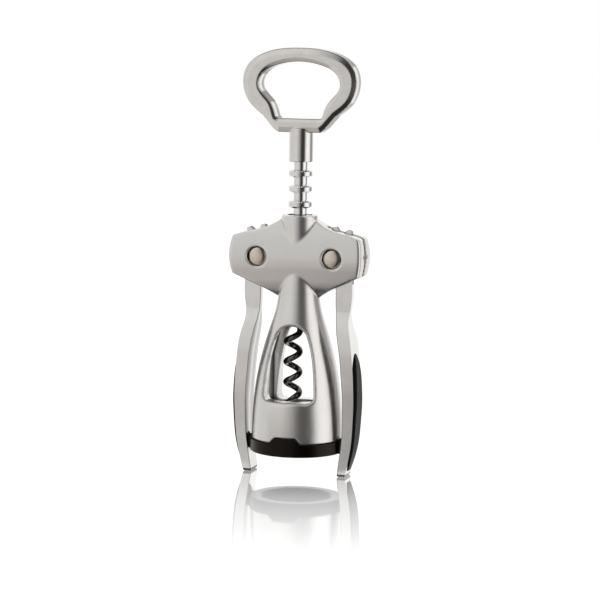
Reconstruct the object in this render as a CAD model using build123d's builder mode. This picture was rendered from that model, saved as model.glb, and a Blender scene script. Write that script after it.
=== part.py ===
from build123d import *
from math import cos, pi, radians, sin
import os

# A wing corkscrew: a cast frame with a bell and a wing-shaped head, two geared levers on
# pivot pins, and a ringed rack spindle that carries the worm below and a cap-lifter handle
# above. Millimetres, +Z up, the front faces -Y. Z = 0 is the surface that the lever tips
# stand on, and the spindle's axis is the Z axis.

# ---- Clearances ----
RUNNING_FIT = 0.06  # radial, a pin or journal in its hole
SLIDE_GAP = 0.3  # between faces that move past each other
SEAT_GAP = 0.25  # between a lever at rest and the stop that it hangs against

# ---- Pivots, and the gearing between the levers and the spindle ----
PIVOT_X = 17.2
PIVOT_Z = 97.6
PIVOT_PIN_R = 2.5
GEAR_PITCH_R = 13.0
GEAR_TEETH = 12  # on a full turn
GEAR_TEETH_CUT = 7  # cut on the sector
GEAR_ADDENDUM = 0.7
GEAR_DEDENDUM = 1.5
GEAR_THICKNESS = 3.0
MESH_ANGLE = 3.1  # degrees below the horizontal, from the pivot to the tooth in mesh
TOOTH_TIP_W = 2.1
TOOTH_ROOT_W = 3.7
TOOTH_EDGE_R = 0.35
RACK_PITCH = 2 * pi * GEAR_PITCH_R / GEAR_TEETH

# ---- Spindle ----
CORE_R = 3.05
RING_R = 5.3
RING_COUNT = 7
RINGS_BELOW_MESH = 1
RING_TIP_W = 3.0
RING_ROOT_W = 3.9
RING_EDGE = 0.6
JOURNAL_R = 2.55
JOURNAL_TOP_Z = 76.6
JOURNAL_END = 0.7  # past the clip's groove
JOURNAL_PLAY = 0.05  # along the axis, above and below the slip ring
NECK_R = 5.3
NECK_BOTTOM_Z = 139.6
SPIGOT_TOP_Z = 148.8
SHANK_R = 1.5
SHANK_TOP_Z = 85.8
SHANK_SHOWS = 0.8  # below the spindle's end
SLIP_RING_R = 6.5
SLIP_RING_T = 1.5
CLIP_R = 3.7
CLIP_T = 0.8
CLIP_GROOVE_DEPTH = 0.45
CLIP_MOUTH = 2.4

# ---- Worm ----
WORM_R = 4.35
WORM_WIRE_R = 1.4
WORM_PITCH = 9.16
WORM_TIP_Z = 31.9
WORM_TIP_ANGLE = 200.0  # degrees round the coil, from +X
WORM_TURNS = 3.4
WORM_TIP_R = 0.15
WORM_POINT_TURNS = 0.3
WORM_POINT_SECTIONS = 6  # circles that the point is drawn through
WORM_SIDE_SET = 2.3  # the coil is bent to one side of its shank

# ---- Handle, a ring that also lifts crown caps ----
HANDLE_TOP_Z = 189.6
HANDLE_BOTTOM_Z = 152.6
HANDLE_THICKNESS = 9.4
HANDLE_OUTER = [(11.1, 188.7), (17.8, 186.5), (23.8, 182.0), (26.1, 174.9), (23.8, 166.5), (17.0, 160.0)]
HANDLE_FOOT = (12.2, 154.5)
HANDLE_FOOT_X = 9.6
OPENING_TOP_Z = 183.6
OPENING_SIDE = [
    (10.2, 182.0),
    (14.9, 179.9),
    (18.0, 176.0),
    (18.4, 172.7),
    (16.9, 169.8),
    (13.8, 166.5),
    (11.4, 162.1),
]
OPENING_BOTTOM_Z = 158.6
OPENING_BOTTOM_X = 10.4
OPENING_CORNER_R = 1.6
HANDLE_BEVEL = (2.2, 1.3)  # on the face, and down the side
OPENING_BEVEL = (1.5, 0.9)
NECK_SHOULDER_Z = HANDLE_BOTTOM_Z + 2.2  # where the neck's rounded top ends against the ring
NECK_SHOULDER_R = 1.3

# ---- Bell and column of the frame ----
BELL_BOTTOM_Z = 15.9
BELL_BOTTOM_R = 20.2
BELL_SIDE = [(19.85, 29.7), (18.3, 43.4), (15.3, 57.0), (12.6, 66.1), (10.3, 73.9), (9.1, 81.2)]
COLUMN_LOW = (8.0, 89.9)
COLUMN_TOP_R = 8.15
COLUMN_TOP_Z = 116.0
COLUMN_TOP_EDGE = 0.6
CORK_BORE_R = 13.0
CORK_BORE_TOP_Z = 53.1
BORE_CEILING_R = 7.3
BORE_CEILING_Z = JOURNAL_TOP_Z + SLIDE_GAP
MOUTH_SHOULDER_Z = 28.1
SPIGOT_BORE_R = 17.8
SPIGOT_TOP_RING_Z = 21.0

# ---- Windows of the bell ----
WINDOW_SILL_Z = 34.2
REAR_SILL_DROP = 3.0
WINDOW_APEX_Z = 67.3
WINDOW_SILL_HALF = 11.7
WINDOW_SIDE = [(10.6, 48.0), (8.5, 58.4)]
WINDOW_SHOULDER = (6.5, 63.9)
WINDOW_CORNER_R = 2.6
WINDOW_BEVEL = 1.1

# ---- Wing-shaped head ----
WING_HALF_SPAN = 30.3
WING_END_BOW = 1.1
WING_HALF_DEPTH = 9.0
WING_CREST_Z = 97.3
WING_LENS_R = 24.1
WING_LENS_SPREAD = 49.0  # degrees of the lens arc, above and below its crest
# The wing's upper and lower edge, as distances in from its end, and heights.
WING_TOP = [(22.3, 114.3), (18.3, 111.7), (13.9, 109.8), (8.8, 108.6)]
WING_TOP_CORNER_Z = 106.4
WING_BOTTOM_CORNER_Z = 89.7
WING_BOTTOM = [(14.0, 83.7), (17.8, 81.5), (20.9, 79.3)]
WING_CORNER_R = 1.4
WING_EDGE_R = 1.2
WING_EDGE_FROM_X = 6.0  # the rounded edge starts here, inside the column
SLOT_GAP = 0.2  # each side of the gear plate
SLOT_RIM_GAP = 0.5  # round the tooth tips
SLOT_INNER_X = 15.6

# ---- Pivot pins and their rear caps ----
PIN_HEAD_R = 4.25
PIN_RECESS_R = 4.5
PIN_RECESS_DEPTH = 2.0  # below the crest of the wing
PIN_HEAD_RIM = 0.9
PIN_DOME = 0.8
PIN_TAIL_IN_CAP = 1.2

# ---- Base ring ----
BASE_RING_R = 21.0
BASE_RING_BOTTOM_Z = 10.3
BASE_RING_EDGE = 0.8
BOTTLE_BORE_R = 15.5
BOTTLE_BORE_LEAD = 0.8
MOUTH_RELIEF = 0.3  # by which the bell's mouth is wider than the base ring's bore
TAB_TOP_Z = 18.5
TAB_TOP_HALF = 4.75
TAB_BOTTOM_HALF = 7.2
LUG_HALF_WIDTH = 4.2

# ---- Levers, seen from the front: distance from the axis, and height ----
ARM_OUTER = [(24.9, 84.5), (24.85, 79.5), (24.2, 74.2), (23.9, 69.4), (24.8, 64.6), (25.8, 59.8)]
# Where the pad lies: also how far the pad's crown stands out of the arm, and half its width.
PAD_STATIONS = [
    (26.35, 55.2, 0.2, 0.9),
    (27.0, 48.5, 1.0, 3.4),
    (27.45, 40.0, 1.2, 4.3),
    (27.6, 33.0, 1.2, 4.6),
    (27.3, 25.0, 1.1, 4.6),
    (26.45, 14.2, 1.0, 4.1),
    (25.35, 8.0, 0.8, 3.3),
    (24.2, 2.6, 0.3, 1.9),
]
ARM_OUTER_TIP = (23.5, 0.0)
ARM_INNER = [
    (17.4, 79.5),
    (17.6, 74.0),
    (19.0, 64.8),
    (20.8, 54.4),
    (21.7, 44.9),
    (22.4, 35.0),
    (22.4, 25.0),
    (22.05, BELL_BOTTOM_Z),
    (21.35, BASE_RING_BOTTOM_Z),
]
ARM_INNER_TIP = (19.95, 0.0)
ARM_OUTER_TOP = (25.0, 89.9)
ARM_INNER_TOP = (17.3, 89.9)
# The arm's half-depth from front to back, and height.
ARM_FLARE_TOP_Z = 73.6
ARM_FLARE = [(2.6, 70.9), (4.4, 67.2), (5.8, 63.2), (6.5, 58.0)]
ARM_HALF_DEPTH = 6.6
ARM_FLARE_BOTTOM_Z = 51.0
ARM_TAPER = [(6.45, 34.0), (6.0, 22.0), (5.45, 12.0)]
ARM_TIP_HALF_DEPTH = 4.6
ARM_TIP_R = 0.9

# ---- Lever pads ----
PAD_INSET = 0.8  # how deep it sits in the arm

# Worked out from the sizes above.
BELL_CUT_REACH = max(BELL_BOTTOM_R, BELL_SIDE[0][0]) + 1  # how far the cuts in the bell's wall run
MOUTH_BORE_R = BOTTLE_BORE_R + MOUTH_RELIEF
GEAR_ROOT_R = GEAR_PITCH_R - GEAR_DEDENDUM
GEAR_TIP_R = GEAR_PITCH_R + GEAR_ADDENDUM
MESH_Z = PIVOT_Z - GEAR_PITCH_R * sin(radians(MESH_ANGLE))
LOWEST_RING_Z = MESH_Z - RACK_PITCH * (RINGS_BELOW_MESH - 0.5)
TOP_RING_Z = LOWEST_RING_Z + RACK_PITCH * (RING_COUNT - 1)
GUIDE_BORE_R = max(RING_R, NECK_R) + SLIDE_GAP
SLOT_HALF = GEAR_THICKNESS / 2 + SLOT_GAP
RECESS_FLOOR_Y = WING_HALF_DEPTH - PIN_RECESS_DEPTH
HELIX_R = WORM_R - WORM_WIRE_R
CLIP_GROOVE_R = JOURNAL_R - CLIP_GROOVE_DEPTH
SLIP_RING_TOP_Z = JOURNAL_TOP_Z - JOURNAL_PLAY
CLIP_TOP_Z = SLIP_RING_TOP_Z - SLIP_RING_T - JOURNAL_PLAY
JOURNAL_BOTTOM_Z = CLIP_TOP_Z - CLIP_T - JOURNAL_END
# The outline that a tab of the base ring and its notch in the bell share.
TAB_OUTLINE = [
    (-TAB_BOTTOM_HALF, BELL_BOTTOM_Z),
    (TAB_BOTTOM_HALF, BELL_BOTTOM_Z),
    (TAB_TOP_HALF, TAB_TOP_Z),
    (-TAB_TOP_HALF, TAB_TOP_Z),
]


def mirrored_x(points):
    return [(-x, z) for x, z in points]


# ======== Frame casting: bell, column and wing-shaped head ========
# The wing is the shape that its front outline and its lens-shaped side share.
WING_LENS_TOP = WING_CREST_Z + WING_LENS_R * sin(radians(WING_LENS_SPREAD))
WING_LENS_BOTTOM = WING_CREST_Z - WING_LENS_R * sin(radians(WING_LENS_SPREAD))
WING_LENS_Y = WING_HALF_DEPTH - WING_LENS_R * (1 - cos(radians(WING_LENS_SPREAD)))

with BuildPart() as wing:
    with BuildSketch(Plane.XZ) as wing_outline:
        with BuildLine():
            top_corner = (WING_HALF_SPAN - WING_END_BOW, WING_TOP_CORNER_Z)
            bottom_corner = (WING_HALF_SPAN - WING_END_BOW, WING_BOTTOM_CORNER_Z)
            top_points = [(WING_HALF_SPAN - inward, z) for inward, z in WING_TOP]
            bottom_points = [(WING_HALF_SPAN - inward, z) for inward, z in WING_BOTTOM]
            Polyline((0, top_points[0][1]), top_points[0])
            Spline(*top_points, top_corner)
            ThreePointArc(top_corner, (WING_HALF_SPAN, WING_CREST_Z), bottom_corner)
            Line(bottom_corner, bottom_points[0])
            Spline(*bottom_points)
            Polyline(bottom_points[-1], (0, bottom_points[-1][1]), (0, top_points[0][1]))
        make_face()
        fillet(wing_outline.vertices().sort_by(Axis.X)[-2:], WING_CORNER_R)
        mirror(about=Plane.YZ)
    extrude(amount=WING_HALF_DEPTH + 1, both=True)
    with BuildSketch(Plane.YZ) as wing_side:
        with BuildLine():
            for side in (1, -1):
                ThreePointArc(
                    (side * WING_LENS_Y, WING_LENS_BOTTOM),
                    (side * WING_HALF_DEPTH, WING_CREST_Z),
                    (side * WING_LENS_Y, WING_LENS_TOP),
                )
            Line((-WING_LENS_Y, WING_LENS_TOP), (WING_LENS_Y, WING_LENS_TOP))
            Line((-WING_LENS_Y, WING_LENS_BOTTOM), (WING_LENS_Y, WING_LENS_BOTTOM))
        make_face()
    extrude(amount=WING_HALF_SPAN + 1, both=True, mode=Mode.INTERSECT)
    front_and_back = wing.faces().filter_by(lambda f: abs(f.normal_at().Y) > 0.7).sort_by(SortBy.AREA)[-2:]
    fillet(front_and_back.edges().filter_by(lambda e: abs(e.center().X) > WING_EDGE_FROM_X), WING_EDGE_R)

with BuildPart() as frame_casting:
    with BuildSketch(Plane.XZ) as casting_section:
        with BuildLine():
            Line((0, BELL_BOTTOM_Z), (BELL_BOTTOM_R, BELL_BOTTOM_Z))
            Spline((BELL_BOTTOM_R, BELL_BOTTOM_Z), *BELL_SIDE, COLUMN_LOW)
            Line(COLUMN_LOW, (COLUMN_TOP_R, COLUMN_TOP_Z))
            Polyline((COLUMN_TOP_R, COLUMN_TOP_Z), (0, COLUMN_TOP_Z), (0, BELL_BOTTOM_Z))
        make_face()
    revolve(axis=Axis.Z)
    fillet(frame_casting.edges().sort_by(Axis.Z)[-1], COLUMN_TOP_EDGE)
    add(wing.part)
    # The bottle's mouth, the cork's bore, its conical top and the spindle's guide bore.
    with BuildSketch(Plane.XZ) as bore_section:
        with BuildLine():
            Polyline(
                (0, BELL_BOTTOM_Z),
                (SPIGOT_BORE_R, BELL_BOTTOM_Z),
                (SPIGOT_BORE_R, SPIGOT_TOP_RING_Z),
                (MOUTH_BORE_R, SPIGOT_TOP_RING_Z),
                (MOUTH_BORE_R, MOUTH_SHOULDER_Z),
                (CORK_BORE_R, MOUTH_SHOULDER_Z),
                (CORK_BORE_R, CORK_BORE_TOP_Z),
                (BORE_CEILING_R, BORE_CEILING_Z),
                (GUIDE_BORE_R, BORE_CEILING_Z),
                (GUIDE_BORE_R, COLUMN_TOP_Z),
                (0, COLUMN_TOP_Z),
                (0, BELL_BOTTOM_Z),
            )
        make_face()
    revolve(axis=Axis.Z, mode=Mode.SUBTRACT)
    # A slot at each end, in which the gear turns and the arm swings.
    with BuildSketch(Plane.XZ):
        with Locations((PIVOT_X, PIVOT_Z), (-PIVOT_X, PIVOT_Z)):
            Circle(GEAR_TIP_R + SLOT_RIM_GAP)
        slot_length = WING_HALF_SPAN + 1 - SLOT_INNER_X
        slot_height = WING_LENS_TOP - WING_LENS_BOTTOM
        slot_x = SLOT_INNER_X + slot_length / 2
        with Locations((slot_x, WING_CREST_Z), (-slot_x, WING_CREST_Z)):
            Rectangle(slot_length, slot_height)
    extrude(amount=SLOT_HALF, both=True, mode=Mode.SUBTRACT)
    # Pin holes, with a recess for the head in front and the cap behind.
    with BuildSketch(Plane.XZ):
        with Locations((PIVOT_X, PIVOT_Z), (-PIVOT_X, PIVOT_Z)):
            Circle(PIVOT_PIN_R)
    extrude(amount=WING_HALF_DEPTH, both=True, mode=Mode.SUBTRACT)
    for side in (1, -1):
        with BuildSketch(Plane.XZ.offset(side * RECESS_FLOOR_Y)):
            with Locations((PIVOT_X, PIVOT_Z), (-PIVOT_X, PIVOT_Z)):
                Circle(PIN_RECESS_R)
        extrude(amount=side * PIN_RECESS_DEPTH, mode=Mode.SUBTRACT)
    # A window in front and one behind, with a bevelled rim on the bell's outside.
    for side, sill_z in ((1, WINDOW_SILL_Z), (-1, WINDOW_SILL_Z - REAR_SILL_DROP)):
        with BuildSketch(Plane.XZ) as window:
            with BuildLine():
                Line((-WINDOW_SILL_HALF, sill_z), (WINDOW_SILL_HALF, sill_z))
                Spline((WINDOW_SILL_HALF, sill_z), *WINDOW_SIDE, WINDOW_SHOULDER)
                Spline((-WINDOW_SILL_HALF, sill_z), *mirrored_x(WINDOW_SIDE), *mirrored_x([WINDOW_SHOULDER]))
                ThreePointArc(WINDOW_SHOULDER, (0, WINDOW_APEX_Z), *mirrored_x([WINDOW_SHOULDER]))
            make_face()
            fillet(window.vertices().sort_by(Axis.Y)[:2], WINDOW_CORNER_R)
        extrude(amount=side * BELL_CUT_REACH, mode=Mode.SUBTRACT)
    bell_side = frame_casting.faces().filter_by(GeomType.REVOLUTION).sort_by(SortBy.AREA)[-1]
    chamfer([edge for rim in bell_side.inner_wires() for edge in rim.edges()], WINDOW_BEVEL)
    # Notches in the bell's foot for the base ring's tabs.
    with BuildSketch(Plane.XZ):
        Polygon(*TAB_OUTLINE, align=None)
    extrude(amount=BELL_CUT_REACH, both=True, mode=Mode.SUBTRACT)

# ======== Base ring: seats on the bottle, closes the bell's foot, stops the levers ========
with BuildPart() as tabs:
    with BuildSketch(Plane.XZ):
        Polygon(*TAB_OUTLINE, align=None)
    extrude(amount=BASE_RING_R, both=True)
    with BuildSketch(Plane.XY.offset(BELL_BOTTOM_Z)):
        Circle(BASE_RING_R)
    extrude(amount=TAB_TOP_Z - BELL_BOTTOM_Z, mode=Mode.INTERSECT)

with BuildPart() as base_ring:
    with BuildSketch(Plane.XY.offset(BASE_RING_BOTTOM_Z)):
        Circle(BASE_RING_R)
    extrude(amount=BELL_BOTTOM_Z - BASE_RING_BOTTOM_Z)
    # A stop at each side, whose end follows the lever that hangs against it.
    stop = [(x - SEAT_GAP, z) for x, z in ARM_INNER[-2:]]
    with BuildSketch(Plane.XZ):
        Polygon(*stop, *mirrored_x(stop[::-1]), align=None)
    extrude(amount=LUG_HALF_WIDTH, both=True)
    fillet(base_ring.edges().group_by(Axis.Z)[0], BASE_RING_EDGE)
    with BuildSketch(Plane.XY.offset(BELL_BOTTOM_Z)):
        Circle(SPIGOT_BORE_R)
    extrude(amount=SPIGOT_TOP_RING_Z - BELL_BOTTOM_Z)
    add(tabs.part)
    with BuildSketch(Plane.XY.offset(BASE_RING_BOTTOM_Z)):
        Circle(BOTTLE_BORE_R)
    extrude(amount=SPIGOT_TOP_RING_Z - BASE_RING_BOTTOM_Z, mode=Mode.SUBTRACT)
    mouth_edge = base_ring.edges().filter_by(GeomType.CIRCLE).group_by(Axis.Z)[0].sort_by(SortBy.RADIUS)[0]
    chamfer(mouth_edge, BOTTLE_BORE_LEAD)


# ======== Spindle: ringed rack shaft, worm, and the parts on its journal ========
with BuildPart() as rack_shaft:
    with BuildSketch(Plane.XZ):
        with BuildLine():
            Polyline(
                (0, JOURNAL_BOTTOM_Z),
                (JOURNAL_R, JOURNAL_BOTTOM_Z),
                (JOURNAL_R, JOURNAL_TOP_Z),
                (CORE_R, JOURNAL_TOP_Z),
                (CORE_R, SPIGOT_TOP_Z),
                (0, SPIGOT_TOP_Z),
                close=True,
            )
        make_face()
        for ring in range(RING_COUNT):
            ring_z = LOWEST_RING_Z + ring * RACK_PITCH
            with BuildLine():
                Polyline(
                    (0, ring_z - RING_ROOT_W / 2),
                    (CORE_R, ring_z - RING_ROOT_W / 2),
                    (RING_R - RING_EDGE, ring_z - RING_TIP_W / 2),
                    (RING_R, ring_z - RING_TIP_W / 2 + RING_EDGE),
                    (RING_R, ring_z + RING_TIP_W / 2 - RING_EDGE),
                    (RING_R - RING_EDGE, ring_z + RING_TIP_W / 2),
                    (CORE_R, ring_z + RING_ROOT_W / 2),
                    (0, ring_z + RING_ROOT_W / 2),
                    close=True,
                )
            make_face()
    revolve(axis=Axis.Z)
    # The clip's groove and the shank's bore.
    with BuildSketch(Plane.XY.offset(CLIP_TOP_Z)):
        Circle(JOURNAL_R)
        Circle(CLIP_GROOVE_R, mode=Mode.SUBTRACT)
    extrude(amount=-CLIP_T, mode=Mode.SUBTRACT)
    with BuildSketch(Plane.XY.offset(JOURNAL_BOTTOM_Z)):
        Circle(SHANK_R)
    extrude(amount=SHANK_TOP_Z - JOURNAL_BOTTOM_Z, mode=Mode.SUBTRACT)

with BuildPart() as slip_ring:
    with BuildSketch(Plane.XY.offset(SLIP_RING_TOP_Z)):
        Circle(SLIP_RING_R)
        Circle(JOURNAL_R + RUNNING_FIT, mode=Mode.SUBTRACT)
    extrude(amount=-SLIP_RING_T)
    chamfer(slip_ring.edges().filter_by(GeomType.CIRCLE).group_by(SortBy.RADIUS)[-1], SLIP_RING_T / 5)

with BuildPart() as spindle_clip:
    with BuildSketch(Plane.XY.offset(CLIP_TOP_Z)):
        Circle(CLIP_R)
        Circle(CLIP_GROOVE_R, mode=Mode.SUBTRACT)
        with Locations((0, -CLIP_R / 2)):
            Rectangle(CLIP_MOUTH, CLIP_R, mode=Mode.SUBTRACT)
    extrude(amount=-CLIP_T)

# The worm is one wire: a point, a right-handed coil, a bend to the axis, and a shank.
WORM_TOP_TURN = WORM_TIP_ANGLE / 360 + WORM_TURNS
WORM_BEND_Z = WORM_TIP_Z + WORM_TURNS * WORM_PITCH
SHANK_BOTTOM_Z = JOURNAL_BOTTOM_Z - SHANK_SHOWS
COIL_CENTRE = (-WORM_SIDE_SET, 0, WORM_TIP_Z)


def coil(turns, first_turn):
    """A stretch of the coil's centre line, counted in turns up from the tip."""
    base = Plane(
        origin=(COIL_CENTRE[0], COIL_CENTRE[1], WORM_TIP_Z + first_turn * WORM_PITCH),
        x_dir=(
            cos(radians(WORM_TIP_ANGLE + 360 * first_turn)),
            sin(radians(WORM_TIP_ANGLE + 360 * first_turn)),
            0,
        ),
        z_dir=(0, 0, 1),
    )
    return base.location * Edge.make_helix(WORM_PITCH, turns * WORM_PITCH, HELIX_R)


with BuildPart() as worm:
    point_path = coil(WORM_POINT_TURNS, 0)
    for section in range(WORM_POINT_SECTIONS):
        share = section / (WORM_POINT_SECTIONS - 1)
        with BuildSketch(Plane(origin=point_path @ share, x_dir=(0, 0, 1), z_dir=point_path % share)):
            Circle(WORM_TIP_R + share * (WORM_WIRE_R - WORM_TIP_R))
    loft()
    coil_path = coil(WORM_TURNS - WORM_POINT_TURNS, WORM_POINT_TURNS)
    with BuildSketch(Plane(origin=coil_path @ 0, z_dir=coil_path % 0)):
        Circle(WORM_WIRE_R)
    sweep(path=coil_path, is_frenet=True)
    with BuildLine() as bend_path:
        Spline(
            coil_path @ 1,
            (0, 0, SHANK_BOTTOM_Z),
            tangents=(coil_path % 1, (0, 0, 1)),
        )
    with BuildSketch(Plane(origin=coil_path @ 1, z_dir=coil_path % 1)):
        Circle(WORM_WIRE_R)
    sweep(path=bend_path.line)
    with BuildSketch(Plane.XY.offset(SHANK_BOTTOM_Z)):
        Circle(SHANK_R)
    extrude(amount=SHANK_TOP_Z - SHANK_BOTTOM_Z)

# ======== Handle: cap-lifter ring and neck ========
with BuildPart() as neck:
    with BuildSketch(Plane.XY.offset(NECK_BOTTOM_Z)):
        Circle(NECK_R)
    extrude(amount=NECK_SHOULDER_Z - NECK_BOTTOM_Z)
    fillet(neck.edges().sort_by(Axis.Z)[-1], NECK_SHOULDER_R)

with BuildPart() as handle:
    with BuildSketch(Plane.XZ) as ring_outline:
        with BuildLine():
            Spline((0, HANDLE_TOP_Z), *HANDLE_OUTER, tangents=((1, 0), (-0.78, -0.62)))
            Line(HANDLE_OUTER[-1], HANDLE_FOOT)
            foot = (HANDLE_FOOT_X, HANDLE_BOTTOM_Z)
            foot_bend = TangentArc(HANDLE_FOOT, foot, tangent=(-0.78, -0.62))
            Polyline(foot, (0, HANDLE_BOTTOM_Z), (0, HANDLE_TOP_Z))
        make_face()
        mirror(about=Plane.YZ)
    extrude(amount=HANDLE_THICKNESS / 2, both=True)
    with BuildSketch(Plane.XZ) as opening:
        with BuildLine():
            Spline((0, OPENING_TOP_Z), *OPENING_SIDE, tangents=((1, 0), (-0.35, -0.94)))
            Line(OPENING_SIDE[-1], (OPENING_BOTTOM_X, OPENING_BOTTOM_Z))
            Polyline((OPENING_BOTTOM_X, OPENING_BOTTOM_Z), (0, OPENING_BOTTOM_Z), (0, OPENING_TOP_Z))
        make_face()
        fillet(opening.vertices().sort_by(Axis.Y)[:2].sort_by(Axis.X)[-1], OPENING_CORNER_R)
        mirror(about=Plane.YZ)
    extrude(amount=HANDLE_THICKNESS / 2, both=True, mode=Mode.SUBTRACT)
    for side in (Axis.Y, -Axis.Y):
        face = handle.faces().filter_by(Axis.Y).sort_by(side)[-1]
        chamfer(face.outer_wire().edges(), *HANDLE_BEVEL, reference=face)
        face = handle.faces().filter_by(Axis.Y).sort_by(side)[-1]
        chamfer(face.inner_wires()[0].edges(), *OPENING_BEVEL, reference=face)
    add(neck.part)
    with BuildSketch(Plane.XY.offset(NECK_BOTTOM_Z)):
        Circle(CORE_R)
    extrude(amount=SPIGOT_TOP_Z - NECK_BOTTOM_Z, mode=Mode.SUBTRACT)

# ======== Levers and their pads; the left ones are the right ones mirrored ========
PAD_OUTER = [(x, z) for x, z, crown, half in PAD_STATIONS]
PAD_CROWN = [(x + crown, z) for x, z, crown, half in PAD_STATIONS]
PAD_FLOOR = [(x - PAD_INSET, z) for x, z, crown, half in PAD_STATIONS]
PAD_EDGE = [(half, z) for x, z, crown, half in PAD_STATIONS]

with BuildPart() as right_pad:
    with BuildSketch(Plane.XZ):
        with BuildLine():
            Spline(*PAD_CROWN)
            Spline(*PAD_FLOOR)
            Line(PAD_CROWN[0], PAD_FLOOR[0])
            Line(PAD_CROWN[-1], PAD_FLOOR[-1])
        make_face()
    extrude(amount=ARM_HALF_DEPTH, both=True)
    with BuildSketch(Plane.YZ):
        with BuildLine():
            Spline(*PAD_EDGE)
            Spline(*mirrored_x(PAD_EDGE))
            Line(PAD_EDGE[0], *mirrored_x(PAD_EDGE[:1]))
            Line(PAD_EDGE[-1], *mirrored_x(PAD_EDGE[-1:]))
        make_face()
    extrude(amount=WING_HALF_SPAN + PAD_STATIONS[2][2], mode=Mode.INTERSECT)

with BuildPart() as right_lever:
    with BuildSketch(Plane.XZ):
        with BuildLine():
            Spline(ARM_OUTER_TOP, *ARM_OUTER, *PAD_OUTER, ARM_OUTER_TIP)
            Spline(ARM_INNER_TOP, *ARM_INNER, ARM_INNER_TIP)
            Line(ARM_OUTER_TOP, ARM_INNER_TOP)
            Line(ARM_OUTER_TIP, ARM_INNER_TIP)
        make_face()
    extrude(amount=ARM_HALF_DEPTH, both=True)
    with BuildSketch(Plane.YZ):
        with BuildLine():
            plate = GEAR_THICKNESS / 2
            tip_z = ARM_OUTER_TIP[1]
            for side in (1, -1):
                flare = [(side * y, z) for y, z in ARM_FLARE]
                flare_end = (side * ARM_HALF_DEPTH, ARM_FLARE_BOTTOM_Z)
                Line((side * plate, ARM_OUTER_TOP[1]), (side * plate, ARM_FLARE_TOP_Z))
                Spline((side * plate, ARM_FLARE_TOP_Z), *flare, flare_end)
                taper = [(side * y, z) for y, z in ARM_TAPER]
                Spline(flare_end, *taper, (side * ARM_TIP_HALF_DEPTH, tip_z))
            Line((-plate, ARM_OUTER_TOP[1]), (plate, ARM_OUTER_TOP[1]))
            Line((-ARM_TIP_HALF_DEPTH, tip_z), (ARM_TIP_HALF_DEPTH, tip_z))
        make_face()
    extrude(amount=WING_HALF_SPAN, mode=Mode.INTERSECT)
    with BuildSketch(Plane.XZ):
        with Locations((PIVOT_X, PIVOT_Z)):
            Circle(GEAR_ROOT_R)
            with PolarLocations(GEAR_ROOT_R, GEAR_TEETH_CUT, MESH_ANGLE, 180, endpoint=True):
                tooth_height = GEAR_TIP_R - GEAR_ROOT_R
                Polygon(
                    (-GEAR_DEDENDUM, -TOOTH_ROOT_W / 2),
                    (0, -TOOTH_ROOT_W / 2),
                    (tooth_height - TOOTH_EDGE_R, -TOOTH_TIP_W / 2),
                    (tooth_height, -TOOTH_TIP_W / 2 + TOOTH_EDGE_R),
                    (tooth_height, TOOTH_TIP_W / 2 - TOOTH_EDGE_R),
                    (tooth_height - TOOTH_EDGE_R, TOOTH_TIP_W / 2),
                    (0, TOOTH_ROOT_W / 2),
                    (-GEAR_DEDENDUM, TOOTH_ROOT_W / 2),
                    align=None,
                )
    extrude(amount=GEAR_THICKNESS / 2, both=True)
    with BuildSketch(Plane.XZ):
        with Locations((PIVOT_X, PIVOT_Z)):
            Circle(PIVOT_PIN_R + RUNNING_FIT)
    extrude(amount=GEAR_THICKNESS / 2, both=True, mode=Mode.SUBTRACT)
    add(right_pad.part, mode=Mode.SUBTRACT)
    fillet(right_lever.edges().group_by(Axis.Z)[0], ARM_TIP_R)

# ======== Pivot pins, each with a cap pressed on its tail ========
PIVOT_PLANE = Plane(origin=(PIVOT_X, 0, PIVOT_Z), x_dir=(1, 0, 0), z_dir=(0, 0, 1))
PIVOT_AXIS = Axis((PIVOT_X, 0, PIVOT_Z), (0, 1, 0))
HEAD_RIM_Y = RECESS_FLOOR_Y + PIN_HEAD_RIM
HEAD_CREST_Y = HEAD_RIM_Y + PIN_DOME

with BuildPart() as right_pin:
    with BuildSketch(PIVOT_PLANE):
        with BuildLine():
            Polyline(
                (0, -HEAD_CREST_Y),
                (0, RECESS_FLOOR_Y + PIN_TAIL_IN_CAP),
                (PIVOT_PIN_R, RECESS_FLOOR_Y + PIN_TAIL_IN_CAP),
                (PIVOT_PIN_R, -RECESS_FLOOR_Y),
                (PIN_HEAD_R, -RECESS_FLOOR_Y),
                (PIN_HEAD_R, -HEAD_RIM_Y),
            )
            Spline((PIN_HEAD_R, -HEAD_RIM_Y), (0, -HEAD_CREST_Y), tangents=((-0.6, -0.8), (-1, 0)))
        make_face()
    revolve(axis=PIVOT_AXIS)

with BuildPart() as right_cap:
    with BuildSketch(PIVOT_PLANE):
        with BuildLine():
            Polyline(
                (0, HEAD_CREST_Y),
                (0, RECESS_FLOOR_Y + PIN_TAIL_IN_CAP),
                (PIVOT_PIN_R, RECESS_FLOOR_Y + PIN_TAIL_IN_CAP),
                (PIVOT_PIN_R, RECESS_FLOOR_Y),
                (PIN_HEAD_R, RECESS_FLOOR_Y),
                (PIN_HEAD_R, HEAD_RIM_Y),
            )
            Spline((PIN_HEAD_R, HEAD_RIM_Y), (0, HEAD_CREST_Y), tangents=((-0.6, 0.8), (-1, 0)))
        make_face()
    revolve(axis=PIVOT_AXIS)

pieces = {
    "frame_casting": frame_casting.part,
    "base_ring": base_ring.part,
    "rack_shaft": rack_shaft.part,
    "worm": worm.part,
    "handle": handle.part,
    "slip_ring": slip_ring.part,
    "spindle_clip": spindle_clip.part,
}
for kind, piece in (
    ("lever", right_lever),
    ("lever_pad", right_pad),
    ("pivot_pin", right_pin),
    ("pivot_cap", right_cap),
):
    pieces[f"right_{kind}"] = piece.part
    pieces[f"left_{kind}"] = mirror(piece.part, about=Plane.YZ)

os.makedirs("parts", exist_ok=True)
for name, piece in pieces.items():
    piece.label = name
    export_step(piece, f"parts/{name}.step")
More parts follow.
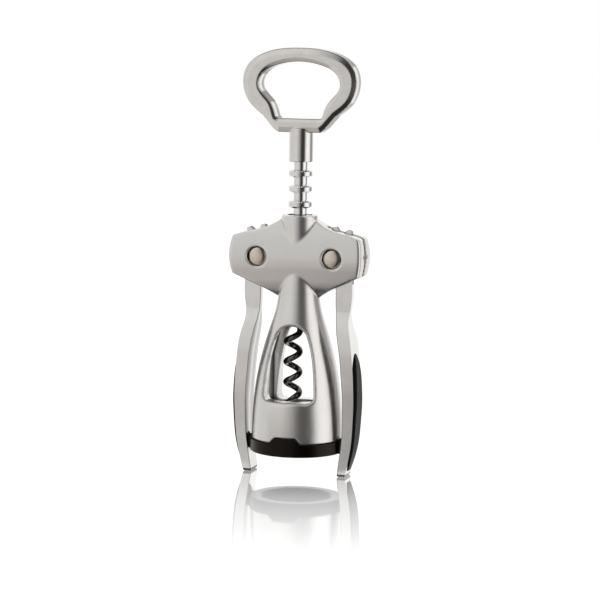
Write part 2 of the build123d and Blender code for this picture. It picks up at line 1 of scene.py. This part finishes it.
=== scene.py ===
import math

import bmesh
import bpy
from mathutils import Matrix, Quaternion, Vector

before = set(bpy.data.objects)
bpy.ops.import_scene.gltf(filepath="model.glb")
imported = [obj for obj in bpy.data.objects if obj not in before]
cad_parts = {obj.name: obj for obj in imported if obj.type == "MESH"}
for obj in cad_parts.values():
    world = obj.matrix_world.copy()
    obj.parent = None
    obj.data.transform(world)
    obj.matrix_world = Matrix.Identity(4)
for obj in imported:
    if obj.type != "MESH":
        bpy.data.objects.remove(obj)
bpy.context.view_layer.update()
scene = bpy.context.scene

# ---------------------------------------------------------------- viewpoint
VIEW_AZIMUTH = math.radians(16.5)  # the camera stands to the right of the front
VIEW_PITCH = math.radians(7.0)
VIEW_ROLL = 0.014
VIEW_DISTANCE = 1.081
AIM_SIDE = 0.0005
AIM_HEIGHT = 0.0779
LENS_MM = 145.8
SENSOR_MM = 36.0
NEAREST = 0.01
FARTHEST = 50


def set_viewpoint():
    camera = bpy.data.cameras.new("viewpoint")
    camera.lens = LENS_MM
    camera.sensor_width = SENSOR_MM
    camera.clip_start = NEAREST
    camera.clip_end = FARTHEST
    viewpoint = bpy.data.objects.new("viewpoint", camera)
    scene.collection.objects.link(viewpoint)
    right = Vector((math.cos(VIEW_AZIMUTH), math.sin(VIEW_AZIMUTH), 0))
    aim = Vector((0, 0, AIM_HEIGHT)) + AIM_SIDE * right
    away = Vector((
        math.sin(VIEW_AZIMUTH) * math.cos(VIEW_PITCH),
        -math.cos(VIEW_AZIMUTH) * math.cos(VIEW_PITCH),
        math.sin(VIEW_PITCH),
    ))
    viewpoint.location = aim + VIEW_DISTANCE * away
    turn = (-away).to_track_quat("-Z", "Y")
    viewpoint.rotation_mode = "QUATERNION"
    viewpoint.rotation_quaternion = Quaternion(away, VIEW_ROLL) @ turn
    scene.camera = viewpoint


# ---------------------------------------------------------------- node helpers
MM_IN_A_METRE = 1000


def fill(tree, socket, value):
    """Sets a socket to a number, or links it to another node's output."""
    if isinstance(value, (int, float)):
        socket.default_value = value
    else:
        tree.links.new(value, socket)


def math_node(tree, operation, *values):
    node = tree.nodes.new("ShaderNodeMath")
    node.operation = operation
    for socket, value in zip(node.inputs, values):
        fill(tree, socket, value)
    return node.outputs[0]


def product(tree, *masks):
    result = masks[0]
    for mask in masks[1:]:
        result = math_node(tree, "MULTIPLY", result, mask)
    return result


def vector_node(tree, operation, *vectors):
    node = tree.nodes.new("ShaderNodeVectorMath")
    node.operation = operation
    for socket, vector in zip(node.inputs, vectors):
        if isinstance(vector, tuple):
            socket.default_value = vector
        else:
            tree.links.new(vector, socket)
    return node.outputs


def parts_of(tree, vector):
    """The X, Y and Z outputs of a vector."""
    parts = tree.nodes.new("ShaderNodeSeparateXYZ")
    tree.links.new(vector, parts.inputs[0])
    return parts.outputs


def own_place(tree):
    return parts_of(tree, tree.nodes.new("ShaderNodeTexCoord").outputs["Object"])


def own_normal(tree):
    return parts_of(tree, tree.nodes.new("ShaderNodeTexCoord").outputs["Normal"])


def turned_normal(tree, world_normal):
    """A world normal's parts, as the piece itself has them."""
    turned = tree.nodes.new("ShaderNodeVectorTransform")
    turned.vector_type = "NORMAL"
    turned.convert_from = "WORLD"
    turned.convert_to = "OBJECT"
    tree.links.new(world_normal, turned.inputs[0])
    return parts_of(tree, turned.outputs[0])


def between(tree, value, start, end, at_start=0.0, at_end=1.0):
    """Runs from at_start to at_end while the value runs from start to end, and no further."""
    spread = tree.nodes.new("ShaderNodeMapRange")
    spread.inputs["From Min"].default_value = start
    spread.inputs["From Max"].default_value = end
    spread.inputs["To Min"].default_value = at_start
    spread.inputs["To Max"].default_value = at_end
    tree.links.new(value, spread.inputs["Value"])
    return spread.outputs["Result"]


def colour_ramp(tree, share, stops):
    """A colour that runs through the stops, given as place from 0 to 1 and colour."""
    ramp = tree.nodes.new("ShaderNodeValToRGB")
    elements = ramp.color_ramp.elements
    elements.remove(elements[-1])
    for number, (place, colour) in enumerate(stops):
        stop = elements[0] if number == 0 else elements.new(place)
        stop.position = place
        stop.color = (*colour, 1)
    tree.links.new(share, ramp.inputs["Fac"])
    return ramp.outputs["Color"]


def level_along(tree, value, stops):
    """A level that follows a value through the stops, given as value and level."""
    first, last = stops[0][0], stops[-1][0]
    share = math_node(tree, "DIVIDE", math_node(tree, "SUBTRACT", value, first), last - first)
    places = [((at - first) / (last - first), (level, level, level)) for at, level in stops]
    return colour_ramp(tree, share, places)


# ---------------------------------------------------------------- light tent and floor
# The tent's wall, as azimuth from the front towards the right, and how bright it is there.
TENT_WALL = [
    (-180, 1.10),
    (-150, 1.05),
    (-125, 0.95),
    (-100, 0.82),
    (-80, 0.74),
    (-50, 0.80),
    (-28, 0.80),
    (-20, 0.77),
    (-12, 0.63),
    (0, 0.50),
    (8, 0.34),
    (16, 0.12),
    (26, 0.05),
    (46, 0.05),
    (54, 0.25),
    (63, 0.85),
    (74, 1.20),
    (98, 1.20),
    (110, 0.95),
    (120, 0.45),
    (130, 0.25),
    (142, 0.35),
    (152, 0.75),
    (162, 1.05),
    (180, 1.10),
]
TENT_TINT = (1.0, 0.99, 0.975)
TENT_STRENGTH = 1.25


def tent_colour(tree, direction):
    """The tent's wall in a direction, as a colour still to be multiplied by TENT_STRENGTH."""
    parts = parts_of(tree, direction)
    toward_front = math_node(tree, "MULTIPLY", parts["Y"], -1.0)
    azimuth = math_node(tree, "ARCTAN2", parts["X"], toward_front)
    stops = []
    for degrees, level in TENT_WALL:
        colour = tuple(level / TENT_STRENGTH * tint for tint in TENT_TINT)
        stops.append(((degrees + 180) / 360, colour))
    return colour_ramp(tree, between(tree, azimuth, -math.pi, math.pi), stops)


def raise_light_tent():
    world = bpy.data.worlds.new("light_tent")
    scene.world = world
    world.use_nodes = True
    tree = world.node_tree
    tree.nodes.clear()
    link = tree.links.new
    direction = tree.nodes.new("ShaderNodeTexCoord").outputs["Generated"]
    rays = tree.nodes.new("ShaderNodeLightPath")
    lit = tree.nodes.new("ShaderNodeBackground")
    lit.inputs["Strength"].default_value = TENT_STRENGTH
    link(tent_colour(tree, direction), lit.inputs["Color"])
    plain = tree.nodes.new("ShaderNodeBackground")
    plain.inputs["Color"].default_value = (1, 1, 1, 1)
    mix = tree.nodes.new("ShaderNodeMixShader")
    link(rays.outputs["Is Camera Ray"], mix.inputs["Fac"])
    link(lit.outputs[0], mix.inputs[1])
    link(plain.outputs[0], mix.inputs[2])
    out = tree.nodes.new("ShaderNodeOutputWorld")
    link(mix.outputs[0], out.inputs["Surface"])


FLOOR_FRONT = -0.52
FLOOR_BACK = 1.6
FLOOR_SIDE = 1.2
FLOOR_COLOUR = (0.82, 0.81, 0.80)
FLOOR_LIT_SHARE = 0.08  # of what the camera sees of the floor, the part that takes shadow
FLOOR_WHITE = 1.08
FLOOR_PAINTED_SHADE_TINT = (0.96, 0.91, 0.89)
# Only in front of the object is the floor painted darker and warmer than the tent's wall above it,
# a painted shade that the metal mirrors.
# These are the Y of the direction from the object where that starts, and where it is full.
FRONT_STARTS = -0.45
FRONT_FULL = -0.80
# How bright the metal sees the floor in front, as a share of the tent above it, by distance:
# darker near the object as painted shadow.
FLOOR_SEEN = [
    (0.0, 0.52),
    (0.05, 0.62),
    (0.10, 0.66),
    (0.165, 0.68),
    (0.18, 0.62),
    (0.20, 0.90),
    (1.0, 0.95),
]
# How strong the floor's mirror image is, by distance from the object.
MIRROR_FADE = [
    (0.0, 0.95),
    (0.03, 0.95),
    (0.06, 0.68),
    (0.10, 0.46),
    (0.15, 0.18),
    (0.20, 0.0),
]
MIRROR_ROUGHNESS = 0.04
MIRROR_BLEND = 0.5


def floor_as_seen(tree, rays):
    """White to the camera, and a little of a lit floor under it that takes the object's shadow."""
    lit = tree.nodes.new("ShaderNodeBsdfDiffuse")
    lit.inputs["Color"].default_value = (*FLOOR_COLOUR, 1)
    white = tree.nodes.new("ShaderNodeEmission")
    white.inputs["Color"].default_value = (1, 1, 1, 1)
    white.inputs["Strength"].default_value = FLOOR_WHITE / (1 - FLOOR_LIT_SHARE)
    share = math_node(tree, "MULTIPLY", rays.outputs["Is Camera Ray"], 1 - FLOOR_LIT_SHARE)
    seen = tree.nodes.new("ShaderNodeMixShader")
    tree.links.new(share, seen.inputs["Fac"])
    tree.links.new(lit.outputs[0], seen.inputs[1])
    tree.links.new(white.outputs[0], seen.inputs[2])
    return seen.outputs[0]


def floor_as_mirrored(tree, place, away):
    """The glowing tone that the metal mirrors, which carries the tent's wall on down the floor,
    with painted shadow in front of the object.
    """
    outward = vector_node(tree, "NORMALIZE", place)[0]
    front_share = between(tree, parts_of(tree, outward)["Y"], FRONT_STARTS, FRONT_FULL)
    tinted = tree.nodes.new("ShaderNodeMix")
    tinted.data_type = "RGBA"
    tinted.blend_type = "MULTIPLY"
    tree.links.new(front_share, tinted.inputs["Factor"])
    tree.links.new(tent_colour(tree, place), tinted.inputs["A"])
    tinted.inputs["B"].default_value = (*FLOOR_PAINTED_SHADE_TINT, 1)
    plain_share = math_node(tree, "SUBTRACT", 1.0, front_share)
    level = math_node(tree, "MAXIMUM", level_along(tree, away, FLOOR_SEEN), plain_share)
    tone = tree.nodes.new("ShaderNodeEmission")
    tree.links.new(tinted.outputs["Result"], tone.inputs["Color"])
    tree.links.new(math_node(tree, "MULTIPLY", level, TENT_STRENGTH), tone.inputs["Strength"])
    return tone.outputs[0]


def glossy_white_floor():
    material = bpy.data.materials.new("glossy_white_floor")
    material.use_nodes = True
    tree = material.node_tree
    tree.nodes.clear()
    link = tree.links.new
    rays = tree.nodes.new("ShaderNodeLightPath")
    place = tree.nodes.new("ShaderNodeTexCoord").outputs["Object"]
    away = vector_node(tree, "LENGTH", place)["Value"]
    mirrored = math_node(
        tree, "MAXIMUM", rays.outputs["Is Glossy Ray"], rays.outputs["Is Transmission Ray"]
    )
    surface = tree.nodes.new("ShaderNodeMixShader")
    link(mirrored, surface.inputs["Fac"])
    link(floor_as_seen(tree, rays), surface.inputs[1])
    link(floor_as_mirrored(tree, place, away), surface.inputs[2])
    # The floor mirrors most at a flat angle and near the object.
    flat = tree.nodes.new("ShaderNodeLayerWeight")
    flat.inputs["Blend"].default_value = MIRROR_BLEND
    strength = product(tree, level_along(tree, away, MIRROR_FADE), flat.outputs["Facing"])
    gloss = tree.nodes.new("ShaderNodeBsdfGlossy")
    gloss.inputs["Color"].default_value = (1, 1, 1, 1)
    gloss.inputs["Roughness"].default_value = MIRROR_ROUGHNESS
    coated = tree.nodes.new("ShaderNodeMixShader")
    link(strength, coated.inputs["Fac"])
    link(surface.outputs[0], coated.inputs[1])
    link(gloss.outputs[0], coated.inputs[2])
    out = tree.nodes.new("ShaderNodeOutputMaterial")
    link(coated.outputs[0], out.inputs["Surface"])
    return material


def lay_floor():
    mesh = bpy.data.meshes.new("floor")
    bm = bmesh.new()
    corners = (
        (-FLOOR_SIDE, FLOOR_FRONT, 0),
        (FLOOR_SIDE, FLOOR_FRONT, 0),
        (FLOOR_SIDE, FLOOR_BACK, 0),
        (-FLOOR_SIDE, FLOOR_BACK, 0),
    )
    bm.faces.new([bm.verts.new(corner) for corner in corners])
    bm.to_mesh(mesh)
    bm.free()
    mesh.materials.append(glossy_white_floor())
    floor = bpy.data.objects.new("floor", mesh)
    scene.collection.objects.link(floor)


# ---------------------------------------------------------------- finishes
GRAIN_LOW = 0.3  # the noise lies mostly between these
GRAIN_HIGH = 0.7
POLISHED_UP_TO = 0.80  # a face that looks to the front or back less than this is polished
SATIN_FROM = 0.95  # and one that does so more than this is satin
POLISH_GRAIN = 0.06
EDGE_SAMPLES = 8


def new_finish(name, colour, metallic, roughness):
    material = bpy.data.materials.new(name)
    material.use_nodes = True
    shader = material.node_tree.nodes["Principled BSDF"]
    shader.inputs["Base Color"].default_value = (*colour, 1)
    shader.inputs["Metallic"].default_value = metallic
    shader.inputs["Roughness"].default_value = roughness
    return material, material.node_tree, shader


def grain(tree, scale, detail=4.0, stretch=(1, 1, 1)):
    place = tree.nodes.new("ShaderNodeTexCoord").outputs["Object"]
    mapping = tree.nodes.new("ShaderNodeMapping")
    mapping.inputs["Scale"].default_value = stretch
    tree.links.new(place, mapping.inputs["Vector"])
    noise = tree.nodes.new("ShaderNodeTexNoise")
    noise.inputs["Scale"].default_value = scale
    noise.inputs["Detail"].default_value = detail
    tree.links.new(mapping.outputs[0], noise.inputs["Vector"])
    return noise.outputs["Fac"]


def vary_colour(tree, shader, pattern, dark, light):
    colour = colour_ramp(tree, pattern, [(GRAIN_LOW, dark), (GRAIN_HIGH, light)])
    tree.links.new(colour, shader.inputs["Base Color"])


def vary_roughness(tree, shader, pattern, smooth, rough):
    roughness = between(tree, pattern, GRAIN_LOW, GRAIN_HIGH, smooth, rough)
    tree.links.new(roughness, shader.inputs["Roughness"])


def add_to_roughness(tree, shader, pattern, amount, roughness):
    varied = math_node(tree, "MULTIPLY_ADD", pattern, amount, roughness)
    tree.links.new(varied, shader.inputs["Roughness"])


def polish_sides(tree, shader, pattern, satin, polished):
    """Satin on the faces that look to the front and back, polished round the sides."""
    facing = math_node(tree, "ABSOLUTE", own_normal(tree)["Y"])
    roughness = between(tree, facing, POLISHED_UP_TO, SATIN_FROM, polished, satin)
    add_to_roughness(tree, shader, pattern, POLISH_GRAIN, roughness)


def soft_edges(tree, radius_mm):
    """A normal that rounds the edges, within a piece and where two faces meet in a corner."""
    bevel = tree.nodes.new("ShaderNodeBevel")
    bevel.samples = EDGE_SAMPLES
    bevel.inputs["Radius"].default_value = radius_mm / MM_IN_A_METRE
    return bevel.outputs["Normal"]


def add_bump(tree, shader, pattern, depth_mm, strength=1.0):
    bump = tree.nodes.new("ShaderNodeBump")
    bump.inputs["Strength"].default_value = strength
    bump.inputs["Distance"].default_value = depth_mm / MM_IN_A_METRE
    tree.links.new(pattern, bump.inputs["Height"])
    tree.links.new(bump.outputs["Normal"], shader.inputs["Normal"])


def paint_shade(tree, shader, shade, mask=1.0):
    """Paints shade: multiplies the colour that is linked to the shader by a shade, where the mask
    is 1.
    """
    mix = tree.nodes.new("ShaderNodeMix")
    mix.data_type = "RGBA"
    mix.blend_type = "MULTIPLY"
    fill(tree, mix.inputs["Factor"], mask)
    tree.links.new(shader.inputs["Base Color"].links[0].from_socket, mix.inputs["A"])
    if isinstance(shade, float):
        mix.inputs["B"].default_value = (shade, shade, shade, 1)
    else:
        tree.links.new(shade, mix.inputs["B"])
    tree.links.new(mix.outputs["Result"], shader.inputs["Base Color"])


def faces_aside(tree, limit):
    """1 on the faces that look to the front or back less than the limit."""
    facing = math_node(tree, "ABSOLUTE", own_normal(tree)["Y"])
    return math_node(tree, "LESS_THAN", facing, limit)


# ---- the frame casting
CASTING_EDGE_MM = 1.8
INWARD_STARTS = -0.75  # how far a face looks away from the axis, where it counts as inward
INWARD_FULL = -0.92
BORE_PAINTED_SHADE = 0.75
BORE_FRONT_PAINTED_SHADE = 0.15
BORE_FRONT_Y = 0.0044  # the painted shade on the bore's wall is darkest in front of this depth
UNDERSIDE_STARTS = -0.4  # how far a face looks up, where it counts as an underside
UNDERSIDE_FULL = -0.7
UNDERSIDE_PAINTED_SHADE = 0.3


def faces_inward(tree):
    """1 on the faces that look towards the bell's axis, 0 on those that look away from it."""
    coordinates = tree.nodes.new("ShaderNodeTexCoord")
    level_place = vector_node(tree, "MULTIPLY", coordinates.outputs["Object"], (1, 1, 0))[0]
    outward = vector_node(tree, "NORMALIZE", level_place)[0]
    along = vector_node(tree, "DOT_PRODUCT", outward, coordinates.outputs["Normal"])["Value"]
    return between(tree, along, INWARD_STARTS, INWARD_FULL)


def satin_casting():
    material, tree, shader = new_finish("satin_casting", (0.72, 0.71, 0.70), 0.9, 0.26)
    vary_colour(tree, shader, grain(tree, 120), (0.765, 0.75, 0.735), (0.795, 0.78, 0.765))
    vary_roughness(tree, shader, grain(tree, 120, 2), 0.25, 0.27)
    # The bore's inside is painted darker, most towards the front: painted shade.
    bore = faces_inward(tree)
    bore_front = math_node(tree, "LESS_THAN", own_place(tree)["Y"], BORE_FRONT_Y)
    paint_shade(tree, shader, BORE_PAINTED_SHADE, bore)
    paint_shade(tree, shader, BORE_FRONT_PAINTED_SHADE, product(tree, bore, bore_front))
    # The undersides are painted darker: painted shade.
    underside = between(tree, own_normal(tree)["Z"], UNDERSIDE_STARTS, UNDERSIDE_FULL)
    paint_shade(tree, shader, UNDERSIDE_PAINTED_SHADE, underside)
    tree.links.new(soft_edges(tree, CASTING_EDGE_MM), shader.inputs["Normal"])
    return material


# ---- the levers
LEVER_EDGE_MM = 0.6
# The painted dark reflection line along the inner edges, by how far the rounded normal turns
# towards the middle.
INNER_EDGE_PAINTED_REFLECTION = [
    (0.0, 1.0),
    (0.10, 1.0),
    (0.28, 0.14),
    (0.90, 0.14),
    (0.97, 1.0),
    (1.0, 1.0),
]
# The bell's painted reflection in the levers' inner sides, as painted shade by depth, and how much
# of it there is, by height.
BELL_PAINTED_REFLECTION = [
    (-0.0066, 0.18),
    (-0.0046, 0.22),
    (-0.0022, 0.50),
    (0.0, 0.85),
    (0.002, 0.55),
    (0.004, 0.55),
    (0.0066, 0.85),
]
BELL_PAINTED_REFLECTION_SHARE = [(0.0, 0.0), (0.008, 0.0), (0.012, 1.0), (0.1, 1.0)]
INNER_SIDE = 0.6  # an inner side looks towards the middle further than this
TIP_LINE_Z = 0.0013  # the tips carry a painted shade line below this, but not on their end faces
END_FACE = -0.97  # an end face looks down further than this
TIP_PAINTED_SHADE = 0.12
GEAR_HALF_THICKNESS = 0.0016
GEAR_FROM_Z = 0.086
GEAR_RIM_ASIDE = 0.5
GEAR_RIM_PAINTED_SHADE = 0.16  # a painted dark reflection on the sawn rim of the gear sectors


def toward_middle(tree, x_of_normal):
    """How far a normal turns towards the middle of the corkscrew, from -1 to 1."""
    side = math_node(tree, "SIGN", own_place(tree)["X"])
    return math_node(tree, "MULTIPLY", product(tree, x_of_normal, side), -1.0)


def satin_lever():
    material, tree, shader = new_finish("satin_lever", (0.76, 0.75, 0.74), 1.0, 0.16)
    vary_colour(tree, shader, grain(tree, 220), (0.76, 0.75, 0.735), (0.81, 0.80, 0.79))
    polish_sides(tree, shader, grain(tree, 700), 0.14, 0.03)
    place = own_place(tree)
    normal = own_normal(tree)

    # A painted shade line along the foot of the tips.
    low = math_node(tree, "LESS_THAN", place["Z"], TIP_LINE_Z)
    not_end_face = math_node(tree, "GREATER_THAN", normal["Z"], END_FACE)
    paint_shade(tree, shader, TIP_PAINTED_SHADE, product(tree, low, not_end_face))

    # A painted dark reflection line along the inner edges.
    rounded = turned_normal(tree, soft_edges(tree, LEVER_EDGE_MM))
    edge = toward_middle(tree, rounded["X"])
    paint_shade(tree, shader, level_along(tree, edge, INNER_EDGE_PAINTED_REFLECTION))

    # The bell's reflection is painted into the inner sides as shade.
    inner_side = math_node(tree, "GREATER_THAN", toward_middle(tree, normal["X"]), INNER_SIDE)
    reflection_share = product(tree, inner_side, level_along(tree, place["Z"], BELL_PAINTED_REFLECTION_SHARE))
    paint_shade(tree, shader, level_along(tree, place["Y"], BELL_PAINTED_REFLECTION), reflection_share)

    # A painted dark reflection on the rim of the gear sectors.
    depth = math_node(tree, "ABSOLUTE", place["Y"])
    thin = math_node(tree, "LESS_THAN", depth, GEAR_HALF_THICKNESS)
    rim = faces_aside(tree, GEAR_RIM_ASIDE)
    high = math_node(tree, "GREATER_THAN", place["Z"], GEAR_FROM_Z)
    paint_shade(tree, shader, GEAR_RIM_PAINTED_SHADE, product(tree, thin, rim, high))
    return material


# ---- the handle
HANDLE_EDGE_MM = 0.9
# The thin painted dark reflection line along the upper and lower edges, by how far the rounded
# normal turns up or down.
LEVEL_EDGE_PAINTED_REFLECTION = [
    (0.0, 1.0),
    (0.54, 1.0),
    (0.62, 0.12),
    (0.93, 0.12),
    (0.98, 1.0),
    (1.0, 1.0),
]
RING_SIDE_ASIDE = 0.3
# The painted dark reflection line along the ring's side walls, by depth.
SIDE_PAINTED_REFLECTION = [
    (-0.005, 1.0),
    (-0.0008, 1.0),
    (0.0004, 0.40),
    (0.0024, 0.40),
    (0.0034, 0.9),
    (0.005, 0.9),
]


def brushed_handle():
    material, tree, shader = new_finish("brushed_handle", (0.80, 0.79, 0.78), 1.0, 0.16)
    vary_colour(tree, shader, grain(tree, 300), (0.72, 0.70, 0.675), (0.78, 0.765, 0.745))
    polish_sides(tree, shader, grain(tree, 1200, 4, (1, 1, 0.08)), 0.12, 0.03)
    soft_normal = soft_edges(tree, HANDLE_EDGE_MM)
    tree.links.new(soft_normal, shader.inputs["Normal"])
    # A painted dark reflection line along the upper and lower edges.
    edge = math_node(tree, "ABSOLUTE", turned_normal(tree, soft_normal)["Z"])
    paint_shade(tree, shader, level_along(tree, edge, LEVEL_EDGE_PAINTED_REFLECTION))
    # A painted dark reflection band on the ring's side walls.
    ring_side = faces_aside(tree, RING_SIDE_ASIDE)
    paint_shade(tree, shader, level_along(tree, own_place(tree)["Y"], SIDE_PAINTED_REFLECTION), ring_side)
    return material


# ---- the spindle and the worm
def polished_shaft():
    material, tree, shader = new_finish("polished_shaft", (0.78, 0.78, 0.77), 1.0, 0.08)
    vary_colour(tree, shader, grain(tree, 300), (0.76, 0.755, 0.75), (0.81, 0.805, 0.80))
    vary_roughness(tree, shader, grain(tree, 900), 0.06, 0.11)
    return material


def dark_wire():
    material, tree, shader = new_finish("dark_wire", (0.16, 0.15, 0.15), 1.0, 0.2)
    vary_colour(tree, shader, grain(tree, 700, 5), (0.07, 0.065, 0.06), (0.28, 0.26, 0.25))
    vary_roughness(tree, shader, grain(tree, 900), 0.14, 0.30)
    add_bump(tree, shader, grain(tree, 1500, 3), 0.03, 0.8)
    return material


def plain_spring_steel():
    material, tree, shader = new_finish("plain_spring_steel", (0.45, 0.45, 0.46), 1.0, 0.35)
    vary_colour(tree, shader, grain(tree, 300), (0.40, 0.40, 0.41), (0.50, 0.50, 0.51))
    vary_roughness(tree, shader, grain(tree, 800), 0.30, 0.42)
    return material


# ---- the black pieces
# Seen almost edge-on, the upward faces would mirror the tent's wall, so they are dull.
UPWARD_STARTS = 0.5
UPWARD_FULL = 0.8
GLOSSY = 0.10
DULL = 1.0
GLOSS_GRAIN = 0.05


def black_gloss():
    material, tree, shader = new_finish("black_gloss", (0.004, 0.003, 0.003), 0.0, 0.12)
    shader.inputs["Specular IOR Level"].default_value = 0.2
    shader.inputs["Specular Tint"].default_value = (1.0, 0.86, 0.78, 1)
    vary_colour(tree, shader, grain(tree, 150), (0.003, 0.002, 0.002), (0.006, 0.005, 0.004))
    upward = own_normal(tree)["Z"]
    roughness = between(tree, upward, UPWARD_STARTS, UPWARD_FULL, GLOSSY, DULL)
    add_to_roughness(tree, shader, grain(tree, 800), GLOSS_GRAIN, roughness)
    return material


def black_soft():
    material, tree, shader = new_finish("black_soft", (0.02, 0.02, 0.02), 0.0, 0.35)
    shader.inputs["Specular IOR Level"].default_value = 0.02
    vary_colour(tree, shader, grain(tree, 200), (0.010, 0.010, 0.010), (0.017, 0.017, 0.017))
    vary_roughness(tree, shader, grain(tree, 900), 0.20, 0.27)
    add_bump(tree, shader, grain(tree, 4500, 2), 0.01, 0.5)
    return material


# ---- the pins and their caps
PIN_RIM_ASIDE = 0.9
PIN_RIM_PAINTED_SHADE = 0.7
PIN_FROM_AXIS = 0.0172  # of a pin's middle
PIN_FROM_FLOOR = 0.0976
PIN_DOME = 26.0  # how far the head falls away from its middle, in metres per square metre


def warm_pin():
    material, tree, shader = new_finish("warm_pin", (0.72, 0.62, 0.55), 1.0, 0.3)
    vary_colour(tree, shader, grain(tree, 400), (0.68, 0.60, 0.53), (0.76, 0.67, 0.60))
    vary_roughness(tree, shader, grain(tree, 1200), 0.16, 0.22)
    # The pins' rims are painted darker: painted shade.
    paint_shade(tree, shader, PIN_RIM_PAINTED_SHADE, faces_aside(tree, PIN_RIM_ASIDE))
    # The flat ends are made to look domed.
    place = own_place(tree)
    across = math_node(tree, "SUBTRACT", math_node(tree, "ABSOLUTE", place["X"]), PIN_FROM_AXIS)
    above = math_node(tree, "SUBTRACT", place["Z"], PIN_FROM_FLOOR)
    across_squared = math_node(tree, "POWER", across, 2)
    above_squared = math_node(tree, "POWER", above, 2)
    from_middle = math_node(tree, "ADD", across_squared, above_squared)
    fall = math_node(tree, "MULTIPLY", from_middle, -PIN_DOME)
    add_bump(tree, shader, fall, MM_IN_A_METRE)
    return material


def dress_nodes():
    casting = satin_casting()
    lever = satin_lever()
    handle = brushed_handle()
    shaft = polished_shaft()
    wire = dark_wire()
    gloss = black_gloss()
    soft = black_soft()
    pin = warm_pin()
    spring = plain_spring_steel()
    finishes = {
        "frame_casting": casting,
        "base_ring": gloss,
        "left_pivot_pin": pin,
        "right_pivot_pin": pin,
        "left_pivot_cap": pin,
        "right_pivot_cap": pin,
        "slip_ring": spring,
        "spindle_clip": spring,
        "rack_shaft": shaft,
        "worm": wire,
        "handle": handle,
        "left_lever": lever,
        "right_lever": lever,
        "left_lever_pad": soft,
        "right_lever_pad": soft,
    }
    for name, finish in finishes.items():
        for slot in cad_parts[name].material_slots:
            slot.material = finish


set_viewpoint()
raise_light_tent()
lay_floor()
dress_nodes()
scene.view_settings.view_transform = "Standard"
